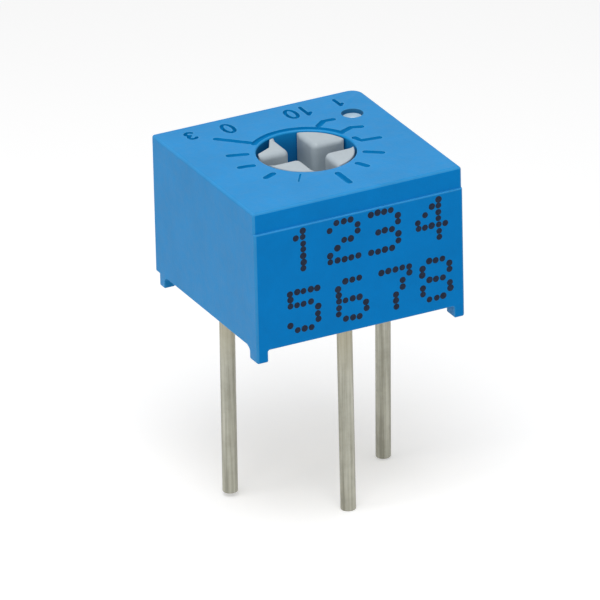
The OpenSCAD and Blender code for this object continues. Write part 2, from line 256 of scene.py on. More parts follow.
def at_height(points, z):
    """Points of the plane, lifted to z."""
    return [(p[0], p[1], z) for p in points]


def mesh_object(name, vertices, faces):
    """A new object with its normals outward."""
    mesh = bpy.data.meshes.new(name)
    mesh.from_pydata(vertices, [], faces)
    shell = bmesh.new()
    shell.from_mesh(mesh)
    bmesh.ops.recalc_face_normals(shell, faces=shell.faces)
    shell.to_mesh(mesh)
    shell.free()
    obj = bpy.data.objects.new(name, mesh)
    bpy.context.scene.collection.objects.link(obj)
    return obj


def loft(name, rings, closed=False):
    """A solid through rings of equal length, capped at its ends, or closed on itself."""
    count = len(rings[0])
    vertices = [p for ring in rings for p in ring]
    faces = []
    for level in range(len(rings) - (0 if closed else 1)):
        a = level * count
        b = (level + 1) % len(rings) * count
        for i in range(count):
            j = (i + 1) % count
            faces.append((a + i, a + j, b + j, b + i))
    if not closed:
        faces.append(tuple(range(count)))
        faces.append(tuple(range(len(vertices) - count, len(vertices))))
    return mesh_object(name, vertices, faces)


def prism(name, outline, z0, z1):
    """An outline of the plane, extruded up."""
    return loft(name, [at_height(outline, z0), at_height(outline, z1)])


def prism_x(name, outline, x0, x1):
    """An outline in Y and Z, extruded along X."""
    return loft(name, [[(x, p[0], p[1]) for p in outline] for x in (x0, x1)])


def prism_y(name, outline, y0, y1):
    """An outline in X and Z, extruded along Y."""
    return loft(name, [[(p[0], y, p[1]) for p in outline] for y in (y0, y1)])


def turned(name, profile, steps=128, centre=(0, 0)):
    """A solid of revolution from a profile of (radius, height), from one end to the other."""
    return loft(name, [circle(r, z, steps, centre) for r, z in profile])


def ring_sector(name, r0, r1, middle, half, z0, z1):
    """A block between two radii and two angles."""
    outline = arc(r1, middle - half, middle + half) + arc(r0, middle + half, middle - half)
    return prism(name, outline, z0, z1)


def settle(obj):
    """Applies an object's modifiers to its mesh."""
    graph = bpy.context.evaluated_depsgraph_get()
    mesh = bpy.data.meshes.new_from_object(obj.evaluated_get(graph))
    obj.modifiers.clear()
    obj.data = mesh
    return obj


def combine(obj, operation, tools):
    """Joins tools to obj or cuts them from it, one after the other."""
    for tool in tools:
        modifier = obj.modifiers.new("combine", "BOOLEAN")
        modifier.operation = operation
        modifier.solver = "EXACT"
        modifier.material_mode = "TRANSFER"
        modifier.object = tool
    settle(obj)
    for tool in tools:
        bpy.data.objects.remove(tool)
    return obj


def painted(obj, material):
    """Gives the whole of a solid one material."""
    obj.data.materials.clear()
    obj.data.materials.append(material)
    for face in obj.data.polygons:
        face.material_index = 0
    return obj


def finish_piece(obj, body, slot, *nodes, sharp=32):
    """Scales a piece to metres, smooths it up to the sharp angle and ties it to the frame."""
    obj.data.transform(Matrix.Scale(MM, 4))
    obj.data.shade_smooth()
    obj.data.set_sharp_from_angle(angle=math.radians(sharp))
    weighted = obj.modifiers.new("weighted", "WEIGHTED_NORMAL")
    weighted.keep_sharp = True
    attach(obj, body)
    if nodes:
        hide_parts(*nodes)
    return obj


# ---------------------------------------------------------------- shared shader effects

class Nodes:
    """Short hand for a material's or a group's node tree."""

    def __init__(self, tree):
        self.tree = tree

    def add(self, kind, **inputs):
        """A node with some of its inputs set, or linked where the value is a socket."""
        node = self.tree.nodes.new(kind)
        for name, value in inputs.items():
            self.put(node.inputs[name.replace("_", " ")], value)
        return node

    def put(self, socket, value):
        """Links or sets one input."""
        if isinstance(value, bpy.types.NodeSocket):
            self.tree.links.new(value, socket)
        else:
            socket.default_value = value

    def math(self, operation, a, b=0.0):
        """A Math node's result."""
        node = self.tree.nodes.new("ShaderNodeMath")
        node.operation = operation
        self.put(node.inputs[0], a)
        self.put(node.inputs[1], b)
        return node.outputs[0]

    def mix(self, factor, a, b):
        """A colour between two."""
        node = self.tree.nodes.new("ShaderNodeMix")
        node.data_type = "RGBA"
        self.put(node.inputs["Factor"], factor)
        self.put(node.inputs["A"], a)
        self.put(node.inputs["B"], b)
        return node.outputs["Result"]

    def span(self, value, low, high, to_low=0.0, to_high=1.0):
        """A value carried from one range to another, and held inside it."""
        node = self.tree.nodes.new("ShaderNodeMapRange")
        self.put(node.inputs["Value"], value)
        self.put(node.inputs["From Min"], low)
        self.put(node.inputs["From Max"], high)
        self.put(node.inputs["To Min"], to_low)
        self.put(node.inputs["To Max"], to_high)
        return node.outputs["Result"]

    def noise(self, vector, scale, detail=2.0, roughness=0.5):
        """A noise node's value, its scale in features per metre."""
        node = self.add("ShaderNodeTexNoise", Vector=vector, Scale=scale, Detail=detail)
        node.inputs["Roughness"].default_value = roughness
        return node.outputs["Fac"]


def effect_group(name, inputs, outputs):
    """An empty shader group with named sockets: floats, colours where the default is a tuple."""
    group = bpy.data.node_groups.new(name, "ShaderNodeTree")
    for socket, default in inputs.items():
        kind = "NodeSocketColor" if isinstance(default, tuple) else "NodeSocketFloat"
        made = group.interface.new_socket(name=socket, in_out="INPUT", socket_type=kind)
        made.default_value = default
    for socket, kind in outputs.items():
        group.interface.new_socket(name=socket, in_out="OUTPUT", socket_type=kind)
    n = Nodes(group)
    return n, n.add("NodeGroupInput").outputs, n.add("NodeGroupOutput").inputs


def make_moulded_skin():
    """Plastic out of a mould: cloudy colour, faint flow, a fine grain in the gloss and the relief."""
    n, given, out = effect_group(
        "moulded skin",
        {"Color": (0.5, 0.5, 0.5, 1), "Cloud": 0.06, "Roughness": 0.4, "Grain Size": 0.05, "Relief": 0.2},
        {"Color": "NodeSocketColor", "Roughness": "NodeSocketFloat", "Normal": "NodeSocketVector"})
    place = n.add("ShaderNodeTexCoord").outputs["Object"]
    cloud = n.noise(place, scale=700, detail=4.0, roughness=0.6)
    mottle = n.noise(place, scale=3800, detail=3.0, roughness=0.6)
    grain = n.noise(place, scale=n.math("DIVIDE", 1 / MM, given["Grain Size"]))
    # The colour swings about its own value by the share that Cloud gives
    blend = n.math("ADD", n.math("MULTIPLY", cloud, 0.65), n.math("MULTIPLY", mottle, 0.35))
    swing = n.span(blend, 0.3, 0.7, -1.0, 1.0)
    gain = n.math("ADD", n.math("MULTIPLY", swing, given["Cloud"]), 1.0)
    shade = n.add("ShaderNodeHueSaturation", Color=given["Color"], Value=gain)
    patchy = n.math("MULTIPLY", n.math("SUBTRACT", mottle, 0.5), 0.25)
    relief = n.math("ADD", grain, n.math("MULTIPLY", cloud, 1.5))
    bump = n.add("ShaderNodeBump", Strength=given["Relief"], Distance=0.02 * MM, Height=relief)
    n.put(out["Color"], shade.outputs["Color"])
    n.put(out["Roughness"], n.math("ADD", given["Roughness"], patchy))
    n.put(out["Normal"], bump.outputs["Normal"])
    return n.tree


def make_edge_highlight_and_hollow_shade():
    """Masks of a painted highlight on the outer edges and of painted shade in the hollows of a piece, its
    sizes in millimetres.
    """
    n, given, out = effect_group(
        "edge highlight and hollow shade", {"Edge Width": 0.04, "Hollow Reach": 0.3, "Hollow Start": 0.95},
        {"Edge": "NodeSocketFloat", "Hollow": "NodeSocketFloat"})
    # Where the surface bends round an edge: the mask of the painted highlight
    bevel = n.add("ShaderNodeBevel", Radius=n.math("MULTIPLY", given["Edge Width"], MM))
    bevel.samples = 6
    surface = n.add("ShaderNodeNewGeometry")
    agreement = n.tree.nodes.new("ShaderNodeVectorMath")
    agreement.operation = "DOT_PRODUCT"
    n.put(agreement.inputs[0], bevel.outputs["Normal"])
    n.put(agreement.inputs[1], surface.outputs["Normal"])
    bent = n.span(agreement.outputs["Value"], 0.99, 0.8)
    # Where the surroundings close in: the mask of the painted shade
    shut = n.add("ShaderNodeAmbientOcclusion", Distance=n.math("MULTIPLY", given["Hollow Reach"], MM))
    shut.samples = 8
    darkest = n.math("MULTIPLY", given["Hollow Start"], 0.35)
    dark = n.span(shut.outputs["AO"], given["Hollow Start"], darkest)
    n.put(out["Edge"], n.math("MULTIPLY", bent, n.math("SUBTRACT", 1.0, dark)))
    n.put(out["Hollow"], dark)
    return n.tree


def make_speckle():
    """Flecks of a second colour, denser in patches, with a grain in the gloss and the relief."""
    n, given, out = effect_group(
        "speckle",
        {"Color": (0.5, 0.5, 0.5, 1), "Fleck": (0.3, 0.3, 0.3, 1), "Grain Size": 0.1,
         "Roughness": 0.5, "Amount": 0.5},
        {"Color": "NodeSocketColor", "Roughness": "NodeSocketFloat", "Normal": "NodeSocketVector"})
    place = n.add("ShaderNodeTexCoord").outputs["Object"]
    density = n.math("DIVIDE", 1 / MM, given["Grain Size"])
    grain = n.noise(place, scale=density, detail=3.0, roughness=0.6)
    patch = n.noise(place, scale=n.math("MULTIPLY", density, 0.25))
    spots = n.span(n.math("MULTIPLY", grain, n.math("ADD", patch, 0.5)), 0.4, 0.7)
    shiny = n.math("SUBTRACT", given["Roughness"], 0.08)
    dull = n.math("ADD", given["Roughness"], 0.08)
    bump = n.add("ShaderNodeBump", Strength=0.2, Distance=0.01 * MM, Height=grain)
    share = n.math("MULTIPLY", spots, given["Amount"])
    n.put(out["Color"], n.mix(share, given["Color"], given["Fleck"]))
    n.put(out["Roughness"], n.span(grain, 0.3, 0.7, shiny, dull))
    n.put(out["Normal"], bump.outputs["Normal"])
    return n.tree


MOULDED_SKIN = make_moulded_skin()
EDGE_HIGHLIGHT_AND_HOLLOW_SHADE = make_edge_highlight_and_hollow_shade()
SPECKLE = make_speckle()


# ---------------------------------------------------------------- finishes

def new_material(name):
    """A material with its nodes and its Principled shader."""
    material = bpy.data.materials.new(name)
    material.use_nodes = True
    n = Nodes(material.node_tree)
    return material, n, material.node_tree.nodes["Principled BSDF"]


def use_group(n, group, **values):
    """A shared effect, placed with this material's own values."""
    node = n.tree.nodes.new("ShaderNodeGroup")
    node.node_tree = group
    for name, value in values.items():
        n.put(node.inputs[name.replace("_", " ")], value)
    return node.outputs


def put_skin(n, shader, skin):
    """Leads a skin's colour, roughness and normal into a material's shader."""
    n.put(shader.inputs["Base Color"], skin["Color"])
    n.put(shader.inputs["Roughness"], skin["Roughness"])
    n.put(shader.inputs["Normal"], skin["Normal"])


# Share of the edge mask given to the painted highlight colour
HIGHLIGHT_SHARE = 0.5
POLISH_IOR = 2.4


def moulded_plastic(name, color, edge_highlight, shaded, roughness, cloud, relief,
                    sheen=0.5, polish=0.0, highlight_width=0.03, hollow=0.5, reach=0.3, start=0.95):
    """A moulded plastic: lightened halfway to one colour at its edges, a painted highlight, and darkened
    to another in its hollows, painted shade.
    """
    material, n, shader = new_material(name)
    shader.inputs["Specular IOR Level"].default_value = sheen
    shader.inputs["Coat Weight"].default_value = polish
    shader.inputs["Coat IOR"].default_value = POLISH_IOR
    masks = use_group(n, EDGE_HIGHLIGHT_AND_HOLLOW_SHADE, Edge_Width=highlight_width, Hollow_Reach=reach, Hollow_Start=start)
    # A painted highlight on the outer edges, then painted shade in the hollows
    base = n.mix(n.math("MULTIPLY", masks["Edge"], HIGHLIGHT_SHARE), color, edge_highlight)
    base = n.mix(n.math("MULTIPLY", masks["Hollow"], hollow), base, shaded)
    skin = use_group(n, MOULDED_SKIN, Color=base, Cloud=cloud, Roughness=roughness, Relief=relief)
    put_skin(n, shader, skin)
    return material


def tinned_wire(name, color, dull, yellowed):
    """Drawn and tinned copper wire: streaks along it, and a tint where it leaves the resin."""
    material, n, shader = new_material(name)
    place = n.add("ShaderNodeTexCoord").outputs["Object"]
    long_way = n.add("ShaderNodeMapping", Vector=place, Scale=(1.0, 1.0, 0.03)).outputs["Vector"]
    streak = n.noise(long_way, scale=9000, detail=3.0, roughness=0.6)
    blotch = n.noise(place, scale=2600, detail=4.0, roughness=0.65)
    tarnish = n.math("ADD", n.math("MULTIPLY", streak, 0.7), n.math("MULTIPLY", blotch, 0.3))
    base = n.mix(n.span(tarnish, 0.38, 0.62), dull, color)
    height = n.add("ShaderNodeSeparateXYZ", Vector=place).outputs["Z"]
    near_case = n.span(height, -1.6 * MM, 0.3 * MM)
    base = n.mix(n.math("MULTIPLY", near_case, 0.6), base, yellowed)
    n.put(shader.inputs["Base Color"], base)
    shader.inputs["Metallic"].default_value = 1.0
    n.put(shader.inputs["Roughness"], n.span(blotch, 0.3, 0.7, 0.34, 0.52))
    bump = n.add("ShaderNodeBump", Strength=0.3, Distance=0.01 * MM, Height=tarnish)
    n.put(shader.inputs["Normal"], bump.outputs["Normal"])
    return material


def speckled(name, color, fleck, size, roughness, metallic=0.0, amount=0.5, sheen=0.5):
    """A grainy surface of two colours, for fired, printed and cast pieces; its size in millimetres."""
    material, n, shader = new_material(name)
    shader.inputs["Specular IOR Level"].default_value = sheen
    shader.inputs["Metallic"].default_value = metallic
    skin = use_group(
        n, SPECKLE, Color=color, Fleck=fleck, Grain_Size=size, Roughness=roughness, Amount=amount)
    put_skin(n, shader, skin)
    return material


# Each moulded plastic below is lighter at its edges, a painted highlight, and darker in its hollows,
# painted shade
CASE_BLUE = moulded_plastic(
    "case_blue",
    color=(0.0, 0.235, 0.57, 1), edge_highlight=(0.08, 0.40, 0.68, 1), shaded=(0.0, 0.05, 0.17, 1),
    roughness=0.42, cloud=0.07, relief=0.15, sheen=0.19, highlight_width=0.09, hollow=0.9, reach=0.9, start=0.5)
# The same plastic on the front face, deeper in colour and less glossy: painted shade for how the light
# falls on that face
SHADED_FRONT_BLUE = moulded_plastic(
    "front_blue_shaded",
    color=(0.0, 0.217, 0.61, 1), edge_highlight=(0.06, 0.38, 0.70, 1), shaded=(0.0, 0.05, 0.18, 1),
    roughness=0.46, cloud=0.07, relief=0.15, sheen=0.06, highlight_width=0.09, hollow=0.9, reach=0.9, start=0.5)
# A lighter copy of the case blue for the rounded edges: a painted highlight
EDGE_HIGHLIGHT_BLUE = moulded_plastic(
    "edge_blue_highlight",
    color=(0.025, 0.265, 0.59, 1), edge_highlight=(0.05, 0.30, 0.64, 1), shaded=(0.0, 0.05, 0.17, 1),
    roughness=0.42, cloud=0.09, relief=0.15, sheen=0.18, hollow=0.9, reach=0.9, start=0.5)
# A copy of the case blue for every surface cut inside the case, darkened much more by painted shade in
# its hollows
SHADED_BORE_BLUE = moulded_plastic(
    "bore_blue_shaded",
    color=(0.0, 0.24, 0.60, 1), edge_highlight=(0.0, 0.28, 0.66, 1), shaded=(0.0, 0.075, 0.235, 1),
    roughness=0.5, cloud=0.06, relief=0.2, sheen=0.18, hollow=0.8, reach=0.9)
# A darker copy of the case blue for the engraved grooves: painted shade
GROOVE_SHADE_BLUE = moulded_plastic(
    "groove_blue_shaded",
    color=(0.0, 0.215, 0.51, 1), edge_highlight=(0.0, 0.25, 0.57, 1), shaded=(0.0, 0.145, 0.38, 1),
    roughness=0.6, cloud=0.08, relief=0.3, sheen=0.07)
# The pit's wall: painted shade
PIT_SHADE = moulded_plastic(
    "pit_shade",
    color=(0.01, 0.11, 0.25, 1), edge_highlight=(0.01, 0.14, 0.30, 1), shaded=(0.0, 0.05, 0.13, 1),
    roughness=0.5, cloud=0.06, relief=0.2, sheen=0.18, reach=0.2)
# The pit's floor: a real polished coat over a pale colour, a painted highlight
PIT_GLINT_BLUE = moulded_plastic(
    "pit_floor_glint",
    color=(0.60, 0.76, 0.86, 1), edge_highlight=(0.64, 0.80, 0.88, 1), shaded=(0.20, 0.42, 0.62, 1),
    roughness=0.15, cloud=0.03, relief=0.02, polish=1.0, reach=0.2)
# The rotor's grey, much lighter at its edges as a painted highlight and darker in its slots as painted
# shade
ROTOR_GREY = moulded_plastic(
    "rotor_grey",
    color=(0.395, 0.455, 0.495, 1), edge_highlight=(0.56, 0.64, 0.69, 1), shaded=(0.19, 0.24, 0.265, 1),
    roughness=0.45, cloud=0.09, relief=0.25, reach=0.8)
TINNED = tinned_wire(
    "tinned_lead",
    color=(0.47, 0.465, 0.395, 1), dull=(0.28, 0.275, 0.225, 1), yellowed=(0.40, 0.36, 0.24, 1))
CODE_INK = speckled(
    "code_ink", color=(0.006, 0.012, 0.032, 1), fleck=(0.02, 0.04, 0.085, 1),
    size=0.05, roughness=0.6, amount=0.6, sheen=0.2)
RESIN = speckled(
    "potting_resin", color=(0.50, 0.40, 0.20, 1), fleck=(0.62, 0.52, 0.30, 1),
    size=0.3, roughness=0.28)
SEAL_RUBBER = speckled(
    "seal_rubber", color=(0.02, 0.02, 0.02, 1), fleck=(0.05, 0.05, 0.05, 1),
    size=0.05, roughness=0.7)
CERAMIC = speckled(
    "ceramic", color=(0.80, 0.78, 0.72, 1), fleck=(0.62, 0.60, 0.55, 1),
    size=0.06, roughness=0.6)
CERMET_INK = speckled(
    "cermet_ink", color=(0.02, 0.02, 0.022, 1), fleck=(0.10, 0.10, 0.11, 1),
    size=0.04, roughness=0.5)
CONDUCTOR_INK = speckled(
    "conductor_ink", color=(0.62, 0.60, 0.54, 1), fleck=(0.40, 0.38, 0.34, 1),
    size=0.04, roughness=0.4, metallic=1.0)
SOLDER = speckled(
    "solder", color=(0.66, 0.66, 0.68, 1), fleck=(0.45, 0.45, 0.47, 1),
    size=0.1, roughness=0.25, metallic=1.0)
SPRING_METAL = speckled(
    "spring_metal", color=(0.78, 0.60, 0.32, 1), fleck=(0.60, 0.44, 0.22, 1),
    size=0.1, roughness=0.3, metallic=1.0)


# ---------------------------------------------------------------- case

def case_outline(inset, front):
    """The case's plan, drawn in by an inset, its front face at the given y."""
    radii = (EDGE_R, EDGE_R, BLUNT_R, EDGE_R)
    return rounded_rectangle(
        CASE_LOW.x + inset, front + inset, CASE_HIGH.x - inset, CASE_HIGH.y - inset,
        [max(r - inset, SHARPEST_R) for r in radii])


def rounded_foot(outline, radius, z):
    """Rings that round the lower rim of an outline given as a function of its inset."""
    return [at_height(outline(radius * (1 - sine)), z + radius * (1 - cosine))
            for sine, cosine in quarter(4)]


def case_block():
    """The outside of the case above the feet, its rims rounded and the step across its front."""
    lower_front = CASE_LOW.y
    upper_front = CASE_LOW.y + STEP_DEPTH
    rings = rounded_foot(lambda inset: case_outline(inset, lower_front), WALL_EDGE_R, FOOT_H)
    for sine, cosine in quarter(3):
        front = lower_front + STEP_R * (1 - cosine)
        rings.append(at_height(case_outline(0, front), STEP_Z - STEP_R * (1 - sine)))
    rings.append(at_height(case_outline(0, upper_front), STEP_Z))
    for sine, cosine in quarter(5):
        outline = case_outline(RIM_R * (1 - cosine), upper_front)
        rings.append(at_height(outline, TOP - RIM_R * (1 - sine)))
    return loft("case_shell", rings)


def trough(a, b, blend):
    """A cutter's section between two feet, its ceiling blended into them, their soles rounded."""
    flare = FOOT_EDGE_R
    section = [(a - flare, -PAST), *arc(flare, -90, 0, 5, (a - flare, flare))]
    section += arc(blend, 180, 90, 8, (a + blend, FOOT_H - blend))
    section += [(a + blend, FOOT_H + PAST), (b - blend, FOOT_H + PAST)]
    section += arc(blend, 90, 0, 8, (b - blend, FOOT_H - blend))
    section += [*arc(flare, 180, 270, 5, (b + flare, flare)), (b + flare, -PAST)]
    return section


def case_feet():
    """The four feet, rooted in the walls and a hair inside them, so that no faces coincide."""
    rings = rounded_foot(lambda inset: case_outline(inset + HAIR, CASE_LOW.y), FOOT_EDGE_R, 0)
    rings.append(at_height(case_outline(HAIR, CASE_LOW.y), FOOT_H + FOOT_ROOT))
    reach = CASE_HIGH.x + PAST
    heel = CASE_HIGH.y - FOOT_INSET
    across = trough(CASE_LOW.x + FOOT_W, CASE_HIGH.x - FOOT_W, FRONT_BLEND_R)
    along = trough(CASE_LOW.y + FOOT_FRONT_L, heel - FOOT_BACK_L, FOOT_BLEND_R)
    behind = [(heel, -PAST), (heel, FOOT_H + PAST), (reach, FOOT_H + PAST), (reach, -PAST)]
    return combine(loft("case_feet", rings), "DIFFERENCE", [
        prism_y("between", across, -reach, reach),
        prism_x("beside", along, -reach, reach),
        prism_x("behind", behind, -reach, reach)])


def paint_case_outside(shell):
    """The case's blue: a shaded copy with less gloss on the printed front, and a lighter copy, a painted
    highlight, on all rounded edges but the blunt one.
    """
    painted(shell, CASE_BLUE)
    shell.data.materials.append(EDGE_HIGHLIGHT_BLUE)
    shell.data.materials.append(SHADED_FRONT_BLUE)
    # Slot 1 holds the rounded edges' painted highlight, slot 2 the front face's shaded copy of the blue
    edge, front = 1, 2
    flat = 0.98
    blunt = Vector((CASE_HIGH.x - BLUNT_R, CASE_HIGH.y - BLUNT_R))
    for face in shell.data.polygons:
        in_blunt = face.center.x > blunt.x and face.center.y > blunt.y
        upright = abs(face.normal.z) < 0.1
        if max(abs(share) for share in face.normal) < flat and not (in_blunt and upright):
            face.material_index = edge
        elif face.normal.y < -flat and face.center.y < 0:
            face.material_index = front
    return shell


def lead_axis(number):
    """Where a lead stands in the plane."""
    low, high = box_mm(f"pin_{number}")
    return (low.x + high.x) / 2, (low.y + high.y) / 2


def hollow_inside():
    """The cavity for the board and resin, the rotor's chamber, the seal's recess and the bore."""
    half_w = CASE_HIGH.x - WALL
    half_d = CASE_HIGH.y - WALL
    ledge = BOARD_HIGH.z
    cavity = rounded_rectangle(-half_w, -half_d, half_w, half_d, [CAVITY_CORNER_R] * 4, 3)
    seal_z = SEAL_LOW.z - SEAL_GAP
    hole_z = SEAL_HIGH.z + SEAL_GAP
    recess_r = HEAD_R + 2 * (SEAL_SECTION_R + SEAL_GAP)
    lip = [(HOLE_R + HOLE_LIP_R * (1 - cosine), TOP - HOLE_LIP_R * (1 - sine))
           for sine, cosine in quarter(6)]
    lip.append((HOLE_R + HOLE_LIP_R, TOP + OVERLAP))
    tools = [
        prism("cavity", cavity, -PAST, ledge),
        turned("chamber", [(CHAMBER_R, ledge - OVERLAP), (CHAMBER_R, seal_z)]),
        turned("recess", [(recess_r, seal_z - OVERLAP), (recess_r, hole_z)]),
        turned("bore", [(HOLE_R, hole_z - OVERLAP), (HOLE_R, TOP - HOLE_LIP_R + HAIR)])]
    for number in LEADS:
        pocket = [(POCKET_R, ledge - OVERLAP), (POCKET_R, LEAD_HIGH.z + POCKET_GAP)]
        tools.append(turned("pocket", pocket, 48, lead_axis(number)))
    # The inner surfaces take the bore's blue, darkened by painted shade; the lip keeps the case blue
    return [painted(tool, SHADED_BORE_BLUE) for tool in tools] + [painted(turned("lip", lip), CASE_BLUE)]


def groove(path, width, depth, closed=False):
    """A round-bottomed groove along a path in the case's top, tapered to its open ends."""
    section = [(-x, z) for x, z in reversed(GROOVE_SECTION[1:])] + GROOVE_SECTION
    points = [Vector(p) for p in path]
    last = len(points) - 1
    stations = []
    for i, p in enumerate(points):
        before = points[i - 1] if i or closed else p
        after = points[(i + 1) % len(points)] if i < last or closed else p
        stations.append((p, (after - before).normalized(), 1.0))
    if not closed:
        start, along, _ = stations[0]
        end, leaving, _ = stations[-1]
        head = [(start - along * width * s, along, w) for s, w in GROOVE_END]
        tail = [(end + leaving * width * s, leaving, w) for s, w in reversed(GROOVE_END)]
        stations = head + stations + tail
    rings = []
    for p, along, share in stations:
        side = Vector((along.y, -along.x))
        ring = []
        for across, down in section:
            q = p + side * (across * width * share)
            ring.append((q.x, q.y, TOP + (down * depth * (share if down < 0 else 1.0))))
        rings.append(ring)
    return loft("groove", rings, closed)


def digit_strokes(digit, height):
    """The strokes of a dial digit, centred and upright, each a path and whether it is closed."""
    if digit == "0":
        return [(ellipse(0.5 * height, height), True)]
    if digit == "1":
        flag = [(-0.2 * height, 0.26 * height), (-0.02 * height, 0.46 * height)]
        stem = [(0, 0.5 * height), (0, -0.5 * height)]
        return [(flag, False), (stem, False)]
    bowl = height / 4
    upper = arc(bowl, 150, -80, 14, (0, bowl))
    lower = arc(bowl, 80, -150, 14, (0, -bowl))
    return [(upper, False), (lower, False)]


def back_digit(digit, x, height):
    """A digit's grooves on the back edge of the top, to be read from behind."""
    y = CASE_HIGH.y - DIGIT_MARGIN - height / 2
    tools = []
    for path, closed in digit_strokes(digit, height):
        turned_path = [(x - p[0], y - p[1]) for p in path]
        tools.append(groove(turned_path, DIGIT_W, MARK_DEPTH, closed))
    return tools


def dial_stroke(path, angle, share=1.0):
    """One engraved mark from radii and bends off its angle, thinner where its share is less."""
    points = [Vector(polar(radius, angle + bend)) + DIAL_CENTRE for radius, bend in path]
    return groove(points, MARK_W * share, MARK_DEPTH * share)


def dial_engraving():
    """The dial: its first mark, its arc, the other marks and the digits."""
    last_angle = MARK_START + MARK_STEP * (MARK_COUNT - 1) - 360
    sweep = arc(ARC_R, MARK_START - ARC_LEAD, last_angle - ARC_TAIL, 40)
    tools = [dial_stroke(((FIRST_MARK_R, 0), (FIRST_MARK_IN_R, 0)), MARK_START),
             groove(sweep, MARK_W, MARK_DEPTH)]
    for i in range(1, MARK_COUNT):
        path = BENT_MARKS.get(i, ((MARK_IN_R, 0), (MARK_OUT_R, 0)))
        share = FAINT_SHARE if i == FAINT_MARK else 1.0
        tools.append(dial_stroke(path, MARK_START + i * MARK_STEP, share))
    for digit, x, height in BACK_DIGITS:
        tools += back_digit(digit, x, height)
    return tools


def index_pit():
    """A round pit in the top, near the first lead: its steep wall in painted shade, and its polished
    floor, painted pale as a highlight.
    """
    centre = (CASE_HIGH.x - PIT_INSET.x, CASE_HIGH.y - PIT_INSET.y)
    floor = TOP - PIT_DEPTH
    floor_r = PIT_R - PIT_TAPER
    mouth_r = PIT_R + PIT_LIP_R
    wall = [(mouth_r, TOP + OVERLAP), (mouth_r, TOP)]
    for sine, cosine in quarter(4, 1):
        wall.append((mouth_r - PIT_LIP_R * sine, TOP - PIT_LIP_R * (1 - cosine)))
    wall.append((floor_r, floor))
    dish = [(floor_r, floor + HAIR)]
    for i in range(PIT_RINGS - 1):
        share = 1 - i / PIT_RINGS
        dish.append((floor_r * share, floor - PIT_SAG * (1 - share * share)))
    dish.append((PIT_HUB_R, floor - PIT_SAG))
    # A dark wall in painted shade, and a pale floor as a painted highlight
    return [painted(turned("pit_wall", wall, 64, centre), PIT_SHADE),
            painted(turned("pit_floor", dish, 64, centre), PIT_GLINT_BLUE)]


def make_case():
    """The moulded case, with everything that is cut into it, and the stop in its chamber."""
    shell = paint_case_outside(combine(case_block(), "UNION", [case_feet()]))
    combine(shell, "DIFFERENCE", hollow_inside())
    stop = ring_sector("stop", STOP_IN_R, CHAMBER_R + WALL / 2, STOP_ANGLE, STOP_HALF,
                       ROTOR_LOW.z + STOP_RISE, SEAL_LOW.z + OVERLAP)
    # The stop takes the bore's blue, darkened by painted shade
    combine(shell, "UNION", [painted(stop, SHADED_BORE_BLUE)])
    # The engraved grooves take a darker blue, painted shade
    engraving = [painted(tool, GROOVE_SHADE_BLUE) for tool in dial_engraving()]
    combine(shell, "DIFFERENCE", engraving + index_pit())
    return finish_piece(shell, "case", "case_blue", "housing")


# ---------------------------------------------------------------- rotor

def block_outline(sx, sy, side, rim):
    """One of the four blocks that the cross slot leaves of the head, drawn in from its faces."""
    x = SLOT_Y_W / 2 + side
    y = SLOT_X_W / 2 + side
    corner_r = SLOT_CORNER_R - side
    rim_r = HEAD_R - rim
    start = math.degrees(math.asin(y / rim_r))
    end = math.degrees(math.acos(x / rim_r))
    if (sx, sy) == (-1, 1):
        near = NOTCH_ANGLE - NOTCH_HALF
        far = NOTCH_ANGLE + NOTCH_HALF
        curve = arc(rim_r, min(start, near - NOTCH_LIP), near, 10)
        curve.append(polar(rim_r - NOTCH_DEPTH, NOTCH_ANGLE))
        curve += arc(rim_r, far, max(end, far + NOTCH_LIP), 10)
    else:
        curve = arc(rim_r, start, end, 40)
    corner = arc(corner_r, 180, 270, 8, (x + corner_r, y + corner_r))
    walls = [(x, curve[-1][1] - BLOCK_CORNER), *corner, (curve[0][0] - BLOCK_CORNER, y)]
    return [(sx * p[0], sy * p[1]) for p in curve], [(sx * p[0], sy * p[1]) for p in walls]


def head_block(sx, sy, bottom, top):
    """A block of the head, its edges rounded more along the slot than at the rim."""
    curve, walls = block_outline(sx, sy, 0, 0)
    rings = [at_height(curve + walls, bottom)]
    for sine, cosine in quarter(6):
        curve, walls = block_outline(sx, sy, BLOCK_EDGE_R * (1 - cosine), BLOCK_RIM_R * (1 - cosine))
        rim = at_height(curve, top - BLOCK_RIM_R * (1 - sine))
        rings.append(rim + at_height(walls, top - BLOCK_EDGE_R * (1 - sine)))
    return loft("block", rings)


def make_rotor():
    """The adjuster: slotted and notched head, flange with its stop lug, and the wiper's stake."""
    top = ROTOR_HIGH.z
    floor = top - SLOT_DEPTH
    stake_z = ROTOR_LOW.z + STAKE_HEAD_T
    flange_z = stake_z + WIPER_T
    flange_top = flange_z + FLANGE_T
    rotor = turned("rotor_head", [
        (STAKE_HEAD_R, ROTOR_LOW.z), (STAKE_HEAD_R, stake_z),
        (STAKE_R, stake_z), (STAKE_R, flange_z),
        (FLANGE_R - FLANGE_BEVEL, flange_z), (FLANGE_R, flange_z + FLANGE_BEVEL),
        (FLANGE_R, flange_top - FLANGE_BEVEL), (FLANGE_R - FLANGE_BEVEL, flange_top),
        (HEAD_R, flange_top), (HEAD_R, floor)])
    joined = [head_block(sx, sy, floor - OVERLAP, top)
              for sx, sy in ((1, 1), (-1, 1), (-1, -1), (1, -1))]
    joined.append(ring_sector("lug", HEAD_R - OVERLAP, CHAMBER_R - LUG_GAP, MARK_START + 180,
                              LUG_HALF, flange_z, flange_top))
    painted(combine(rotor, "UNION", joined), ROTOR_GREY)
    return finish_piece(rotor, "adjuster", "rotor_grey", "rotor")


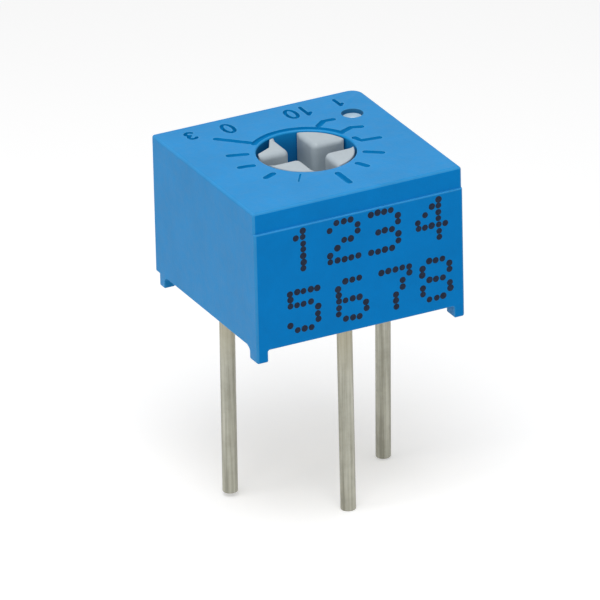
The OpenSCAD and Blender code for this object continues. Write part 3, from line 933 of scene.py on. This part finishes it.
def make_seal():
    """The rubber ring round the rotor's neck."""
    middle = (SEAL_LOW.z + SEAL_HIGH.z) / 2
    radius = SEAL_HIGH.x - SEAL_SECTION_R
    section = ellipse(2 * SEAL_SECTION_R, 2 * SEAL_SECTION_R, 24)
    rings = [circle(radius + out, middle + up, 96) for out, up in section]
    seal = loft("neck_seal", rings, closed=True)
    return finish_piece(painted(seal, SEAL_RUBBER), "adjuster", "seal_rubber", "shaft_seal")


# ---------------------------------------------------------------- leads

def make_lead(number):
    """A tinned lead, sheared off at its end, its tail squared where the board holds it."""
    centre = lead_axis(number)
    end = LEAD_LOW.z + LEAD_CUTS[number]
    root = POTTING_LOW.z + OVERLAP
    profile = [(LEAD_FACE_R, end)]
    for sine, cosine in quarter(4, 1):
        profile.append((LEAD_R - LEAD_END_R * (1 - sine), end + LEAD_END_R * (1 - cosine)))
    profile.append((LEAD_R, root))
    lead = turned(f"lead_{number}", profile, 48, centre)
    root_lean, end_lean = LEAD_LEANS[number]
    for vertex in lead.data.vertices:
        share = (root - vertex.co.z) / (root - end)
        vertex.co.x += root_lean + (end_lean - root_lean) * share
    half = TAIL_W / 2
    square = rounded_rectangle(-half, -half, half, half, [TAIL_EDGE_R] * 4, 3)
    outline = [(centre[0] + p[0], centre[1] + p[1]) for p in square]
    combine(lead, "UNION", [prism("tail", outline, root - TAIL_ROOT, LEAD_HIGH.z)])
    return finish_piece(painted(lead, TINNED), "case", "tinned_lead", f"pin_{number}")


# ---------------------------------------------------------------- printed code

# Plain digits on a grid of five columns and seven rows, and the grid's middle
DOT_DIGITS = {
    "1": ("..#..", ".##..", "..#..", "..#..", "..#..", "..#..", "..#.."),
    "2": (".###.", "#...#", "....#", "..##.", ".#...", "#....", "#####"),
    "3": ("####.", "....#", "....#", ".###.", "....#", "....#", "####."),
    "4": ("...#.", "..##.", ".#.#.", "#..#.", "#####", "...#.", "...#."),
    "5": ("#####", "#....", "####.", "....#", "....#", "#...#", ".###."),
    "6": (".###.", "#....", "#....", "####.", "#...#", "#...#", ".###."),
    "7": ("#####", "....#", "...#.", "...#.", "..#..", "..#..", "..#.."),
    "8": (".###.", "#...#", "#...#", ".###.", "#...#", "#...#", ".###."),
}
MIDDLE_COLUMN = 2
MIDDLE_ROW = 3
# Each row of code: its digits, the height of its middle, and the middle of each digit along X
CODE_ROWS = (
    ("1234", 3.30, (-1.82, -0.51, 0.81, 2.34)),
    ("5678", 1.40, (-1.84, -0.28, 1.13, 2.45)),
)
DOT_R = 0.099
DOT_T = 0.008
DOT_PITCH_X = 0.222
DOT_PITCH_Z = 0.2
# How far a dot strays from its place, and by what share its radius varies
DOT_DRIFT = 0.014
DOT_SPREAD = 0.08
# A dot's rings from its foot in the wall to its crown, in shares of its radius and thickness
DOT_DOME = ((1.0, -0.2), (1.0, 0.35), (0.8, 0.9))
DOT_STEPS = 20


def code_dots():
    """Centre and radius of each printed dot, a little unsteady as a jet printer lays them."""
    jet = random.Random(7)
    dots = []
    for digits, row_z, places in CODE_ROWS:
        for digit, place in zip(digits, places):
            for row, line in enumerate(DOT_DIGITS[digit]):
                for column, mark in enumerate(line):
                    if mark == "#":
                        x = place + (column - MIDDLE_COLUMN) * DOT_PITCH_X
                        x += jet.uniform(-DOT_DRIFT, DOT_DRIFT)
                        z = row_z + (MIDDLE_ROW - row) * DOT_PITCH_Z
                        z += jet.uniform(-DOT_DRIFT, DOT_DRIFT)
                        dots.append((x, z, DOT_R * jet.uniform(1 - DOT_SPREAD, 1 + DOT_SPREAD)))
    return dots


def make_code():
    """Plain digits on the front face, as low domes of ink."""
    vertices = []
    faces = []
    for x, z, radius in code_dots():
        base = len(vertices)
        for share, rise in DOT_DOME:
            y = CASE_LOW.y - DOT_T * rise
            vertices += [(px, y, pz) for px, pz, _ in circle(radius * share, 0, DOT_STEPS, (x, z))]
        for lower in range(base, len(vertices) - DOT_STEPS, DOT_STEPS):
            upper = lower + DOT_STEPS
            for i in range(DOT_STEPS):
                j = (i + 1) % DOT_STEPS
                faces.append((lower + i, lower + j, upper + j, upper + i))
        faces.append(tuple(range(base, base + DOT_STEPS)))
        faces.append(tuple(range(len(vertices) - DOT_STEPS, len(vertices))))
    code = mesh_object("printed_code", vertices, faces)
    return finish_piece(painted(code, CODE_INK), "case", "case_blue", sharp=60)


# ---------------------------------------------------------------- inner pieces

def dress_inner_pieces():
    """Finishes for the frame's own pieces that are sealed inside the case."""
    finishes = {
        "wiper": SPRING_METAL, "substrate": CERAMIC, "resistive_track": CERMET_INK,
        "end_pad_1": CONDUCTOR_INK, "end_pad_3": CONDUCTOR_INK, "collector": CONDUCTOR_INK,
        "solder_1": SOLDER, "solder_2": SOLDER, "solder_3": SOLDER, "potting": RESIN}
    for node, material in finishes.items():
        painted(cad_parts[node], material)


# ---------------------------------------------------------------- stage, light and camera

FLOOR_REACH = 400
FLOOR_WHITE = 0.80
FLOOR_GLOW = 0.35
SOFT_LIGHT = 0.51
CAMERA_AZIMUTH = -26.6
CAMERA_ELEVATION = 24.85
CAMERA_ROLL = -1.35
CAMERA_DISTANCE = 300.0
CAMERA_TARGET = Vector((-0.317, 0.0, 0.036))
CAMERA_LENS = 619.0
SENSOR = 36.0


def seen_directly(n):
    """1 for what the camera, a reflection or glass sees, and 0 for the light on the object."""
    path = n.add("ShaderNodeLightPath").outputs
    reflected = n.math("MAXIMUM", path["Is Glossy Ray"], path["Is Transmission Ray"])
    return n.math("MAXIMUM", path["Is Camera Ray"], reflected)


def make_floor():
    """A plain white floor under the leads, seen from above only."""
    reach = FLOOR_REACH
    z = LEAD_LOW.z
    corners = [(-reach, -reach, z), (reach, -reach, z), (reach, reach, z), (-reach, reach, z)]
    floor = mesh_object("floor", corners, [(0, 1, 2, 3)])
    floor.data.transform(Matrix.Scale(MM, 4))
    material, n, shader = new_material("floor_white")
    shader.inputs["Base Color"].default_value = (FLOOR_WHITE, FLOOR_WHITE, FLOOR_WHITE, 1)
    shader.inputs["Roughness"].default_value = 0.9
    shader.inputs["Specular IOR Level"].default_value = 0.0
    strength = n.math("MULTIPLY", seen_directly(n), FLOOR_GLOW)
    glow = n.add("ShaderNodeEmission", Color=(1, 1, 1, 1), Strength=strength)
    lit = n.add("ShaderNodeAddShader")
    n.put(lit.inputs[0], shader.outputs["BSDF"])
    n.put(lit.inputs[1], glow.outputs["Emission"])
    clear = n.add("ShaderNodeBsdfTransparent")
    choose = n.add("ShaderNodeMixShader", Fac=n.add("ShaderNodeNewGeometry").outputs["Backfacing"])
    n.put(choose.inputs[1], lit.outputs["Shader"])
    n.put(choose.inputs[2], clear.outputs["BSDF"])
    n.put(n.tree.nodes["Material Output"].inputs["Surface"], choose.outputs["Shader"])
    floor.data.materials.append(material)


def make_world():
    """A white surround for the camera and for reflections, and a soft even light for the rest."""
    world = bpy.data.worlds.new("studio")
    bpy.context.scene.world = world
    world.use_nodes = True
    n = Nodes(world.node_tree)
    surround = world.node_tree.nodes["Background"]
    surround.inputs["Color"].default_value = (1, 1, 1, 1)
    n.put(surround.inputs["Strength"], n.span(seen_directly(n), 0, 1, SOFT_LIGHT, 1.0))


def direction(azimuth, elevation):
    """The way from the object to a lamp or the camera, with azimuth 0 out of the printed front."""
    a = math.radians(azimuth)
    e = math.radians(elevation)
    return Vector((math.sin(a) * math.cos(e), -math.cos(a) * math.cos(e), math.sin(e)))


def aim(obj, back, roll=0.0):
    """Adds a lamp or camera to the scene, its back turned to the given direction."""
    spin = Matrix.Rotation(math.radians(roll), 4, "Z").to_quaternion()
    obj.rotation_mode = "QUATERNION"
    obj.rotation_quaternion = (-back).to_track_quat("-Z", "Y") @ spin
    bpy.context.scene.collection.objects.link(obj)


def make_lamp(name, azimuth, elevation, distance, size, watts):
    """A square soft box, aimed at the middle of the object."""
    lamp = bpy.data.lights.new(name, "AREA")
    lamp.size = size * MM
    lamp.energy = watts
    obj = bpy.data.objects.new(name, lamp)
    back = direction(azimuth, elevation)
    obj.location = back * distance * MM
    aim(obj, back)


def make_camera():
    """A long lens from the front left and above."""
    camera = bpy.data.cameras.new("camera")
    camera.sensor_width = SENSOR
    camera.lens = CAMERA_LENS
    camera.clip_start = 0.01
    camera.clip_end = 10
    obj = bpy.data.objects.new("camera", camera)
    back = direction(CAMERA_AZIMUTH, CAMERA_ELEVATION)
    obj.location = (CAMERA_TARGET + back * CAMERA_DISTANCE) * MM
    aim(obj, back, CAMERA_ROLL)
    bpy.context.scene.camera = obj


make_case()
make_rotor()
make_seal()
for lead_number in LEADS:
    make_lead(lead_number)
make_code()
dress_inner_pieces()
make_floor()
make_world()
make_lamp("top_box", azimuth=-30, elevation=70, distance=60, size=40, watts=0.0215)
make_lamp("left_box", azimuth=-95, elevation=15, distance=60, size=30, watts=0.0054)
make_camera()
bpy.context.scene.view_settings.view_transform = "Standard"
